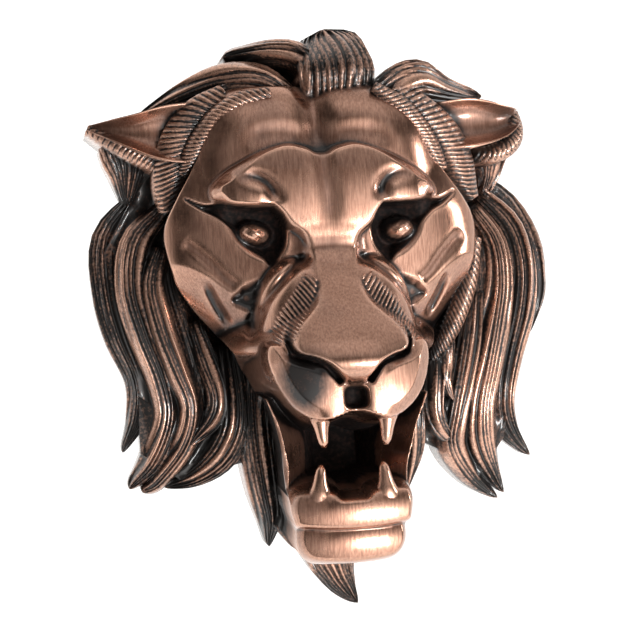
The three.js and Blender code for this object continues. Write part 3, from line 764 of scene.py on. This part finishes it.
SMOOTH_FORMS = ("face", "ear_0", "ear_1", "upper_fang", "lower_fang")
smooth_skin = tree_of([made for made in solids if made.name.startswith(SMOOTH_FORMS)])
mask = solids[0]
combine(mask, solids[1:], "UNION")
print("joined:", len(mask.data.polygons), "faces")
combine(mask, cores, "DIFFERENCE")
mask.name = "lion_mask_casting"
print("hollowed:", len(mask.data.polygons), "faces")

# %% [markdown]
# ## Where the patina stays
# The plated casting is darkened all over in a chemical bath and then rubbed, so hollows stay brown-black and
# ridges come up bright. A texture can't know where a hollow is, but the mesh can: its own shape is measured
# once, at every vertex, and kept as attributes that the material reads. Two measures are needed. How far a
# vertex lies under the smoothed skin finds the narrow grooves between strands, and rays sent out from it
# find the broad hollows such as the sockets and the mouth.

# %% Measure the grooves
def vertex_values(mesh, name):
    """One row of three numbers for each vertex."""
    values = np.empty(3 * len(mesh.vertices))
    mesh.vertices.foreach_get(name, values)
    return values.reshape(-1, 3)


def edge_ends(mesh):
    """The vertices at the two ends of every edge."""
    ends = np.empty(2 * len(mesh.edges), dtype=np.int64)
    mesh.edges.foreach_get("vertices", ends)
    return ends.reshape(-1, 2).T


def smoothed(values, ends, weight, passes):
    """Each value becomes the weighted mean of its neighbours, again and again."""
    first, second = ends
    total = np.bincount(first, weight, len(values)) + np.bincount(second, weight, len(values))
    for _ in range(passes):
        pulled = [np.bincount(first, weight * column[second], len(values))
                  + np.bincount(second, weight * column[first], len(values)) for column in values.T]
        values = 0.5 * values + 0.5 * np.stack(pulled, -1) / np.maximum(total, 1e-9)[:, None]
    return values


for polygon in mask.data.polygons:
    polygon.use_smooth = True
spots = vertex_values(mask.data, "co")
normals = vertex_values(mask.data, "normal")
ends = edge_ends(mask.data)
spacing = np.linalg.norm(spots[ends[0]] - spots[ends[1]], axis=1)
stiffness = 1 / np.maximum(spacing, 0.1 * MM)


def sunk(passes):
    """How far each vertex lies under the smoothed skin, in millimetres."""
    return ((smoothed(spots, ends, stiffness, passes) - spots) * normals).sum(1) / MM


fine = sunk(10)
broad = sunk(60)
print("fine grooves:", np.percentile(fine, [5, 50, 95]).round(2), "mm deep")
print("broad dips:", np.percentile(broad, [5, 50, 95]).round(2), "mm deep")

# %% Measure the hollows
# Each vertex sends out rays from just over its own surface, and a hit counts less the farther off it is.
RAYS = 14
RAY_REACH = 45 * MM
RAY_LIFT = 0.3 * MM


def ray_fan(count):
    """Directions spread evenly over a half sphere, denser near its pole."""
    share = (np.arange(count) + 0.5) / count
    turn = np.arange(count) * math.pi * (3 - math.sqrt(5))
    flat = np.sqrt(share)
    return np.stack([flat * np.cos(turn), flat * np.sin(turn), np.sqrt(1 - share)], -1)


def covered(mesh, spots, normals):
    """The share of rays from each vertex that meet the casting again, near hits counting more."""
    tree = BVHTree.FromPolygons([tuple(spot) for spot in spots], [tuple(p.vertices) for p in mesh.polygons])
    helper = np.where(np.abs(normals[:, 2:]) < 0.9, [[0, 0, 1.0]], [[1.0, 0, 0]])
    side = np.cross(helper, normals)
    side /= np.linalg.norm(side, axis=1)[:, None]
    over = np.cross(normals, side)
    starts = spots + normals * RAY_LIFT
    share = np.zeros(len(spots))
    for a, b, c in ray_fan(RAYS):
        ways = a * side + b * over + c * normals
        for number, (start, way) in enumerate(zip(starts, ways)):
            distance = tree.ray_cast(start, way, RAY_REACH)[3]
            if distance is not None:
                share[number] += 1 - distance / RAY_REACH
    return share / RAYS


cover = smoothed(covered(mask.data, spots, normals)[:, None], ends, stiffness, 4)[:, 0]
print("covered:", np.percentile(cover, [5, 50, 95]).round(2))

# %% [markdown]
# ## Hair, painted shade and rubbed ridges
# The hair is left darker than the skin, so each vertex is asked whether it lies on the face, an ear or a
# fang. The grooves and hollows then add up to the patina, with more in the hair, along the creases and low
# down at the edge of the mane. A few broad patches of painted shade darken places on the left, which lies
# away from the light, and tone down bright reflections on the crown and the right ear. The sides that turn
# towards the wall are darkened as painted shade too.

# %% Hair and smooth skin
WHISKER_HALF = 6.5
off_skin = np.array([smooth_skin.find_nearest(spot)[3] for spot in spots]) > 0.05 * MM
hair = smoothed(off_skin[:, None].astype(float), ends, stiffness, 3)[:, 0]
drawn_z = (spots[:, 2] - low.z) / tall + DRAWN_BOTTOM
drawn_side = (spots[:, 0] - low.x) / wide + DRAWN_LEFT - lean(drawn_z)
drawn_x = np.abs(drawn_side)
drawn_out = -spots[:, 1] / deep
whisker_line = [spot[:2] for spot in WHISKERS]
whiskered = ridge(drawn_x, drawn_z, whisker_line, width=WHISKER_HALF, height=1.0, ends=(0.1, 0.1), power=4)
hair = np.maximum(hair, whiskered)
print("hair:", round(float(hair.mean()), 2), "of the vertices")

# %% Patina that gathers, and painted shade
# A crease is (course, width, strength) and a patch of painted shade is (x, z, half width, half height,
# strength).
CREASES = [(FURROW, 6, 0.22), (FOREHEAD_MIDDLE, 6, 0.25), (BROW_MIDDLE, 5, 0.3), (BROW_HOOK, 4, 0.45),
           (CHEEK_LINE, 3.6, 0.25), (CHEEK_LENS, 2.4, 0.1), (BRIDGE_LINE, 4, 0.3)]
SHADE_PATCHES = [(-27, -31, 12, 15, 0.9), (-25, -98, 8, 7, 0.5), (-20, -117, 6, 6, 0.2), (14, 142, 24, 18, 0.3),
          (-66, 8, 16, 20, 0.3), (-8, 6, 9, 8, 0.15), (40, 66, 14, 8, 0.12), (-42, 110, 26, 18, 0.12),
          (96, 107, 20, 12, 0.25)]
LEFT_BY_RUBBING = 0.04
OPEN_COVER = 0.14
patina = LEFT_BY_RUBBING + 2.0 * np.clip(cover - OPEN_COVER, 0, 1)
patina = patina + 0.8 * np.clip(fine, 0, 1) + 0.15 * np.clip(broad, 0, 2)
in_hair = 0.22 + 3.4 * np.clip(fine + 0.1, 0, 1)
low_hair = 0.35 * ease((26 - drawn_out) / 4)
patina = patina + hair * (in_hair + low_hair)
for crease, width, darkening in CREASES:
    patina = patina + ridge(drawn_x, drawn_z, crease, width, darkening, (0.1, 0.3)) * (1 - hair)
patina = patina + 0.05 * ease(inset(drawn_x, drawn_z, CHEEK_POCKET) / 5 + 0.4)
# Painted shade: broad dark patches, most on the left of the lip, chin, cheek and forehead, which lie away
# from the light, and over the crown tuft and the right ear, to tone down their bright reflections.
for x, z, reach_x, reach_z, darkening in SHADE_PATCHES:
    patina = patina + darkening * ease(1.5 - np.hypot((drawn_side - x) / reach_x, (drawn_z - z) / reach_z))
# Painted shade: faces that turn towards the wall, up to 92 mm out, are darkened so that the sides of the
# forms don't come up pale.
facing_back = ease((normals[:, 1] + 0.4) / 0.4)
patina = patina + 0.6 * facing_back * ease((92 - drawn_out) / 10)
rubbed = 0.3 - (1 + hair) * np.clip(fine, -1, 0) - 0.15 * np.clip(broad, -2, 0) - 0.6 * cover
print("patina before the deep places:", round(float(np.clip(patina, 0, 1).mean()), 2))

# %% [markdown]
# ## Where the bath's black is never rubbed, and painted shade
# A cloth can't reach the bottom of the mouth, the sockets round the eyeballs, the nostrils or the pit between
# the lobes of the lip, so the bath's black stays whole there. The black in them is also painted shade, for
# these hollows lie in deep shadow. The rays find these places, but their borders come out soft. The outlines
# that carved them give the crisp border that the casting shows.

# %% Places that a cloth can't reach, blackened as patina and painted shade
BACK_PATINA = 0.65
in_relief = ease((drawn_out - 40) / 10)
between_jaws = ease((24 - drawn_x) / 7) * ease((-46 - drawn_z) / 3) * ease((drawn_z + 97) / 3)
gape = between_jaws * ease((78 - drawn_out) / 8)
from_eye = np.hypot((drawn_x - EYEBALL[0]) / EYEBALL[2], (drawn_z - EYEBALL[1]) / EYEBALL[3])
eyeball = ease(3.6 - 4 * from_eye)
sockets = ease((inset(drawn_x, drawn_z, SOCKET) + 2) / 4.5) * (1 - eyeball) * in_relief
nostrils = ridge(drawn_x, drawn_z, NOSTRIL, width=1.6, height=1, ends=(0.4, 0.05), power=4)
nostrils = nostrils * in_relief * ease((118 - drawn_out) / 3)
from_pit = np.maximum(drawn_x / LIP_PIT[1], np.abs(drawn_z - LIP_PIT[0]) / LIP_PIT[2])
pit = ease(1.5 - from_pit) * ease((110 - drawn_out) / 4)
# Patina and painted shade: the mouth, sockets, nostrils and lip pit are blackened, as the bath's black and as
# the shadow in them.
unrubbed_and_shaded = np.maximum.reduce([gape, sockets, nostrils, pit]) * ease(drawn_out / 6)
patina = np.where(drawn_out < 0.5, BACK_PATINA, patina + 0.8 * unrubbed_and_shaded)


def keep_values(name, values):
    """Values from 0 to 1, one for each vertex, kept on the mesh for the material to read."""
    attribute = mask.data.attributes.new(name, "FLOAT", "POINT")
    attribute.data.foreach_set("value", np.clip(values, 0, 1).astype(np.float32))
    print(name, "mean", round(float(np.clip(values, 0, 1).mean()), 3))


keep_values("patina", patina)
keep_values("rubbed", rubbed)
keep_values("hair", hair)

# %% [markdown]
# ## Antique copper
# The finish is copper plate, dark brown where the patina stays and rose-coloured where it is rubbed, under a
# clear lacquer. Copper needs a metallic shader: its colour is the colour of its reflections. The patina is
# copper sulphide, which is less of a mirror, so it is darker, rougher and less metallic. The lacquer is a
# coat over both, and gives the white glints on the dark locks. Rubbing leaves fine scratches down the face.
# Real scratches and cast grain are a few tenths of a millimetre across, too fine for a picture with half a
# millimetre to a pixel, so both are drawn coarser here.

# %% Colours and one helper for nodes
def rgba(code):
    """An sRGB hex colour as the linear values that a shader takes."""
    parts = [int(code[i:i + 2], 16) / 255 for i in (1, 3, 5)]
    return [c / 12.92 if c <= 0.04045 else ((c + 0.055) / 1.055) ** 2.4 for c in parts] + [1.0]


def add_node(tree, kind, settings=(), inputs=()):
    """A node with its settings, and its inputs set to a value or linked to another node's socket."""
    node = tree.nodes.new(kind)
    for key, value in dict(settings).items():
        setattr(node, key, value)
    for key, value in dict(inputs).items():
        if isinstance(value, bpy.types.NodeSocket):
            tree.links.new(value, node.inputs[key])
        else:
            node.inputs[key].default_value = value
    return node


print("half grey in linear light:", round(rgba("#808080")[0], 3))

# %% The copper
RUBBED_COPPER = "#CFA28B"
WORN_COPPER = "#8F6654"
PATINA_BROWN = "#3B2620"
# The black of full patina is also the colour of the painted shade in the deep places.
PATINA_AND_SHADE_BLACK = "#0B0605"
SCRATCH_SPACING = 0.9 * MM
SCRATCH_STRETCH = 0.07
CAST_GRAIN = 1.6 * MM
CLOUD = 28 * MM
BATH_STARTS, BATH_COVERS = 0.15, 0.9
LACQUER, LACQUER_ROUGHNESS = 0.65, 0.06


def new_finish(name):
    """A material with nothing in it yet but its shader, and its node tree."""
    finish = bpy.data.materials.new(name)
    finish.use_nodes = True
    return finish, finish.node_tree, finish.node_tree.nodes["Principled BSDF"]


antique_copper, tree, shader = new_finish("antique_copper_lacquered")
where = add_node(tree, "ShaderNodeTexCoord").outputs["Object"]
# The patina value read here also holds painted shade.
patina_and_shade_here = add_node(tree, "ShaderNodeAttribute", {"attribute_name": "patina"}).outputs["Fac"]
polished = add_node(tree, "ShaderNodeAttribute", {"attribute_name": "rubbed"}).outputs["Fac"]
hairy = add_node(tree, "ShaderNodeAttribute", {"attribute_name": "hair"}).outputs["Fac"]
clouds = add_node(tree, "ShaderNodeTexNoise", {}, {
    "Vector": where, "Scale": 1 / CLOUD, "Detail": 4.0}).outputs["Fac"]
grain = add_node(tree, "ShaderNodeTexNoise", {}, {
    "Vector": where, "Scale": 1 / CAST_GRAIN, "Detail": 3.0}).outputs["Fac"]
brushed = add_node(tree, "ShaderNodeMapping", {}, {
    "Vector": where, "Scale": (1, 1, SCRATCH_STRETCH)}).outputs["Vector"]
scratches = add_node(tree, "ShaderNodeTexNoise", {}, {
    "Vector": brushed, "Scale": 1 / SCRATCH_SPACING, "Detail": 3.0, "Roughness": 0.6}).outputs["Fac"]
print("scratches", SCRATCH_SPACING / MM, "mm apart, grain", CAST_GRAIN / MM, "mm, clouds", CLOUD / MM, "mm")

# %% How dark and how bright
# Darkness is the patina and painted shade that the mesh carries, made uneven by clouds and by the grain of
# the casting, which shows more in the hair. Brightness is how much a place was rubbed, streaked by the
# scratches.
cloudy = add_node(tree, "ShaderNodeMapRange", {}, {
    "Value": clouds, "From Min": 0.3, "From Max": 0.7, "To Min": -0.2, "To Max": 0.22}).outputs[0]
speckled = add_node(tree, "ShaderNodeMapRange", {}, {
    "Value": grain, "From Min": 0.3, "From Max": 0.7, "To Min": -0.1, "To Max": 0.1}).outputs[0]
coarser = add_node(tree, "ShaderNodeMapRange", {}, {
    "Value": hairy, "To Min": 0.6, "To Max": 2.6}).outputs[0]
uneven = add_node(tree, "ShaderNodeMath", {"operation": "MULTIPLY_ADD"}, {
    0: speckled, 1: coarser, 2: cloudy}).outputs[0]
dark = add_node(tree, "ShaderNodeMath", {"operation": "ADD", "use_clamp": True}, {
    0: patina_and_shade_here, 1: uneven}).outputs[0]
streaks = add_node(tree, "ShaderNodeMapRange", {}, {
    "Value": scratches, "From Min": 0.35, "From Max": 0.65, "To Min": -0.25, "To Max": 0.25}).outputs[0]
bright = add_node(tree, "ShaderNodeMath", {"operation": "ADD", "use_clamp": True}, {
    0: polished, 1: streaks}).outputs[0]
print("darkness and brightness:", len(tree.nodes), "nodes")

# %% Copper, patina and lacquer on the shader
copper_colour = add_node(tree, "ShaderNodeMix", {"data_type": "RGBA"}, {
    0: bright, 6: rgba(WORN_COPPER), 7: rgba(RUBBED_COPPER)}).outputs[2]
patina_colour = add_node(tree, "ShaderNodeMix", {"data_type": "RGBA"}, {
    0: dark, 6: rgba(PATINA_BROWN), 7: rgba(PATINA_AND_SHADE_BLACK)}).outputs[2]
bath = add_node(tree, "ShaderNodeValToRGB", {}, {"Fac": dark})
bath.color_ramp.elements[0].position = BATH_STARTS
bath.color_ramp.elements[0].color = (1, 1, 1, 1)
bath.color_ramp.elements[1].position = BATH_COVERS
bath.color_ramp.elements[1].color = (0, 0, 0, 1)
colour = add_node(tree, "ShaderNodeMix", {"data_type": "RGBA"}, {
    0: bath.outputs[0], 6: patina_colour, 7: copper_colour}).outputs[2]
metal = add_node(tree, "ShaderNodeMapRange", {}, {"Value": dark, "To Min": 1.0, "To Max": 0.35}).outputs[0]
dull = add_node(tree, "ShaderNodeMapRange", {}, {"Value": dark, "To Min": 0.22, "To Max": 0.45}).outputs[0]
scratch_bump = add_node(tree, "ShaderNodeBump", {}, {
    "Height": scratches, "Strength": 0.12, "Distance": 0.1 * MM}).outputs[0]
bump = add_node(tree, "ShaderNodeBump", {}, {
    "Height": grain, "Strength": 0.14, "Distance": 0.15 * MM, "Normal": scratch_bump}).outputs[0]
for socket, value in (("Base Color", colour), ("Metallic", metal), ("Roughness", dull), ("Normal", bump)):
    tree.links.new(value, shader.inputs[socket])
shader.inputs["Coat Weight"].default_value = LACQUER
shader.inputs["Coat Roughness"].default_value = LACQUER_ROUGHNESS
mask.data.materials.clear()
mask.data.materials.append(antique_copper)
print("copper:", len(tree.nodes), "nodes")

# %% [markdown]
# ## Matt black in the deep places
# The lacquer is wiped on and doesn't reach the bottom of the mouth, the sockets and the nostrils, so the
# bath's own black is seen there: a dull sulphide crust with hardly any reflection, browner and smoother where
# it is thin. The black there is also painted shade, standing for the deep shadow in these hollows. It is a
# second material on the same mesh, given to each face whose corners all lie in a deep place, and to the plain
# sides of the jaws, where it is painted shade.

# %% The black crust
CRUST_SPOT = 2.5 * MM
matt_black, tree, shader = new_finish("matt_black_patina")
where = add_node(tree, "ShaderNodeTexCoord").outputs["Object"]
crust = add_node(tree, "ShaderNodeTexNoise", {}, {
    "Vector": where, "Scale": 1 / CRUST_SPOT, "Detail": 4.0}).outputs["Fac"]
thin = add_node(tree, "ShaderNodeMapRange", {}, {
    "Value": crust, "From Min": 0.45, "From Max": 0.75, "To Max": 0.6}).outputs[0]
crust_colour = add_node(tree, "ShaderNodeMix", {"data_type": "RGBA"}, {
    0: thin, 6: rgba(PATINA_AND_SHADE_BLACK), 7: rgba(PATINA_BROWN)}).outputs[2]
chalky = add_node(tree, "ShaderNodeMapRange", {}, {"Value": crust, "To Min": 0.9, "To Max": 0.6}).outputs[0]
crust_bump = add_node(tree, "ShaderNodeBump", {}, {
    "Height": crust, "Strength": 0.3, "Distance": 0.3 * MM}).outputs[0]
for socket, value in (("Base Color", crust_colour), ("Roughness", chalky), ("Normal", crust_bump)):
    tree.links.new(value, shader.inputs[socket])
shader.inputs["Specular IOR Level"].default_value = 0.2
mask.data.materials.append(matt_black)
print("black crust:", CRUST_SPOT / MM, "mm spots")

# %% Faces without lacquer, matt black as patina and painted shade
JAW_TOP, JAW_FOOT = -38, -94
JAW_EDGE = 0.82
JAW_SIDE_OUT = 60
TURNED_AWAY = -0.6
MOSTLY = 0.6
unlacquered_and_shaded = unrubbed_and_shaded > MOSTLY
centres = np.array([polygon.center for polygon in mask.data.polygons])
centre_z = (centres[:, 2] - low.z) / tall + DRAWN_BOTTOM
centre_x = np.abs((centres[:, 0] - low.x) / wide + DRAWN_LEFT - lean(centre_z))
between = (centre_z < JAW_TOP) & (centre_z > JAW_FOOT)
jaw_side = between & (centre_x > JAW_EDGE * profile(centre_z, SKIN_HALF))
# Painted shade: the low sides of the jaws get the matt black material as well.
for polygon, beside in zip(mask.data.polygons, jaw_side):
    corners = list(polygon.vertices)
    low_down = drawn_out[corners].min() < JAW_SIDE_OUT
    flank = beside and low_down and polygon.normal.y > TURNED_AWAY and hair[corners].mean() < MOSTLY
    polygon.material_index = int(flank or unlacquered_and_shaded[corners].all())
print("deep places:", int(unlacquered_and_shaded.sum()), "vertices without lacquer")

# %% The casting in the frame
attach(mask, "root")
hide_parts("lion_mask")
mask.data.calc_loop_triangles()
print("casting:", len(mask.data.loop_triangles), "triangles")

# %% [markdown]
# ## Camera and light
# A catalogue picture: the camera is level with the mask, 10 degrees to its left and leaning 2.5 degrees, and
# the surroundings are a pale studio that is darker behind the camera. Polished metal shows its surroundings,
# so the dark side of the studio is what turns the cheeks brown, and the pale side behind the mask draws the
# bright edges. A window low on the right and three soft lamps light the planes that come up pale.

# %% Camera
# The camera looks at a point near the middle of the mask, about half way out of the wall.
CAMERA_TURN, CAMERA_LEAN = math.radians(-10), math.radians(2.5)
CAMERA_DISTANCE = 0.9
PICTURE_WIDTH, PIXEL = 640, 0.56 * MM
SENSOR = 36
target = Vector((-0.0051, -0.055, -0.128))
back = Vector((math.sin(CAMERA_TURN), -math.cos(CAMERA_TURN), 0))
right = Vector((math.cos(CAMERA_TURN), math.sin(CAMERA_TURN), 0))
up = Vector((0, 0, 1))
leaning_right = right * math.cos(CAMERA_LEAN) - up * math.sin(CAMERA_LEAN)
leaning_up = right * math.sin(CAMERA_LEAN) + up * math.cos(CAMERA_LEAN)
lens = bpy.data.cameras.new("camera")
camera = bpy.data.objects.new("camera", lens)
bpy.context.scene.collection.objects.link(camera)
turn = Matrix((leaning_right, leaning_up, back)).transposed().to_4x4()
camera.matrix_world = Matrix.Translation(target + back * CAMERA_DISTANCE) @ turn
lens.sensor_width = SENSOR
lens.lens = SENSOR * CAMERA_DISTANCE / (PICTURE_WIDTH * PIXEL)
lens.clip_start = 0.01
bpy.context.scene.camera = camera
print("lens:", round(lens.lens, 1), "mm")

# %% Studio
studio = bpy.data.worlds.new("studio")
bpy.context.scene.world = studio
studio.use_nodes = True
room = studio.node_tree
direction = add_node(room, "ShaderNodeTexCoord").outputs["Generated"]


def glow(toward, start, end, dim, bright):
    """Light that grows from dim to bright as a direction nears the given one."""
    facing = add_node(room, "ShaderNodeVectorMath", {"operation": "DOT_PRODUCT"},
                      {0: direction, 1: Vector(toward).normalized()}).outputs["Value"]
    return add_node(room, "ShaderNodeMapRange", {"interpolation_type": "SMOOTHSTEP"}, {
        "Value": facing, "From Min": start, "From Max": end, "To Min": dim, "To Max": bright}).outputs[0]


walls = glow((0, 1, 0), start=-0.35, end=0.2, dim=0.07, bright=1.0)
ceiling = glow((0.16, -0.4, 0.9), start=0.65, end=1.0, dim=0.0, bright=0.6)
window = glow((0.38, -0.82, -0.4), start=0.76, end=0.97, dim=0.0, bright=2.0)
low_left = glow((-0.36, -0.9, -0.24), start=0.85, end=1.0, dim=0.0, bright=0.3)
lit = walls
for part in (ceiling, window, low_left):
    lit = add_node(room, "ShaderNodeMath", {"operation": "ADD"}, {0: lit, 1: part}).outputs[0]
room.links.new(lit, room.nodes["Background"].inputs["Strength"])
room.nodes["Background"].inputs["Color"].default_value = rgba("#FFFBF7")
print("studio:", len(room.nodes), "nodes")

# %% Soft lamps
def soft_light(name, place_at, size, power):
    """A square lamp turned to the mask, its size in metres and its power in watts."""
    lamp = bpy.data.lights.new(name, "AREA")
    lamp.size = size
    lamp.energy = power
    holder = bpy.data.objects.new(name, lamp)
    bpy.context.scene.collection.objects.link(holder)
    holder.matrix_world = (Vector(place_at) - target).to_track_quat("Z", "Y").to_matrix().to_4x4()
    holder.location = place_at


soft_light("low_key", (0.36, -0.95, -0.5), size=0.3, power=8)
soft_light("high_front", (0.15, -0.95, 0.6), size=0.9, power=0.8)
soft_light("mane_right", (1.0, -0.36, -0.05), size=0.25, power=3)
bpy.context.scene.view_settings.view_transform = "Standard"
print("lamps:", len(bpy.data.lights))

# %% [markdown]
# ## Floor
# A floor of matt white paint sweeps up into a back wall, so that the mask stands before one even white. It
# glows a little, because a catalogue's background is lit brighter than the object.

# %% Sweep
FLOOR_DROP = 0.45
FLOOR_FRONT = -0.5
FLOOR_HALF_WIDTH = 4
SWEEP_BACK = 2.2
SWEEP_RADIUS = 1
SWEEP_TOP = 4


def pale_floor():
    """A floor that sweeps up into a back wall, one strip extruded along a curve."""
    bm = bmesh.new()
    turns = np.radians(np.arange(7.5, 91, 7.5))
    start = SWEEP_BACK - SWEEP_RADIUS
    spots = [(FLOOR_FRONT, 0), (start, 0)]
    spots += [(start + SWEEP_RADIUS * math.sin(a), SWEEP_RADIUS * (1 - math.cos(a))) for a in turns]
    spots.append((SWEEP_BACK, SWEEP_TOP))
    line = [bm.verts.new((-FLOOR_HALF_WIDTH, y, z)) for y, z in spots]
    edges = [bm.edges.new(pair) for pair in zip(line, line[1:])]
    strip = bmesh.ops.extrude_edge_only(bm, edges=edges)["geom"]
    for vert in corners_of(strip):
        vert.co.x = FLOOR_HALF_WIDTH
    for vert in bm.verts:
        vert.co.z += low.z - FLOOR_DROP
    floor = solid_object("pale_floor", bm)
    for polygon in floor.data.polygons:
        polygon.use_smooth = True
    return floor


floor = pale_floor()
floor_paint, tree, shader = new_finish("matt_white_paint")
shader.inputs["Base Color"].default_value = rgba("#F4F3F1")
shader.inputs["Roughness"].default_value = 0.9
shader.inputs["Emission Color"].default_value = (1, 1, 1, 1)
shader.inputs["Emission Strength"].default_value = 0.55
floor.data.materials.append(floor_paint)
print("floor:", FLOOR_DROP, "m below the mask")

# %% [markdown]
# ## Close
# The scene is brought up to date.

# %% Close
bpy.context.view_layer.update()
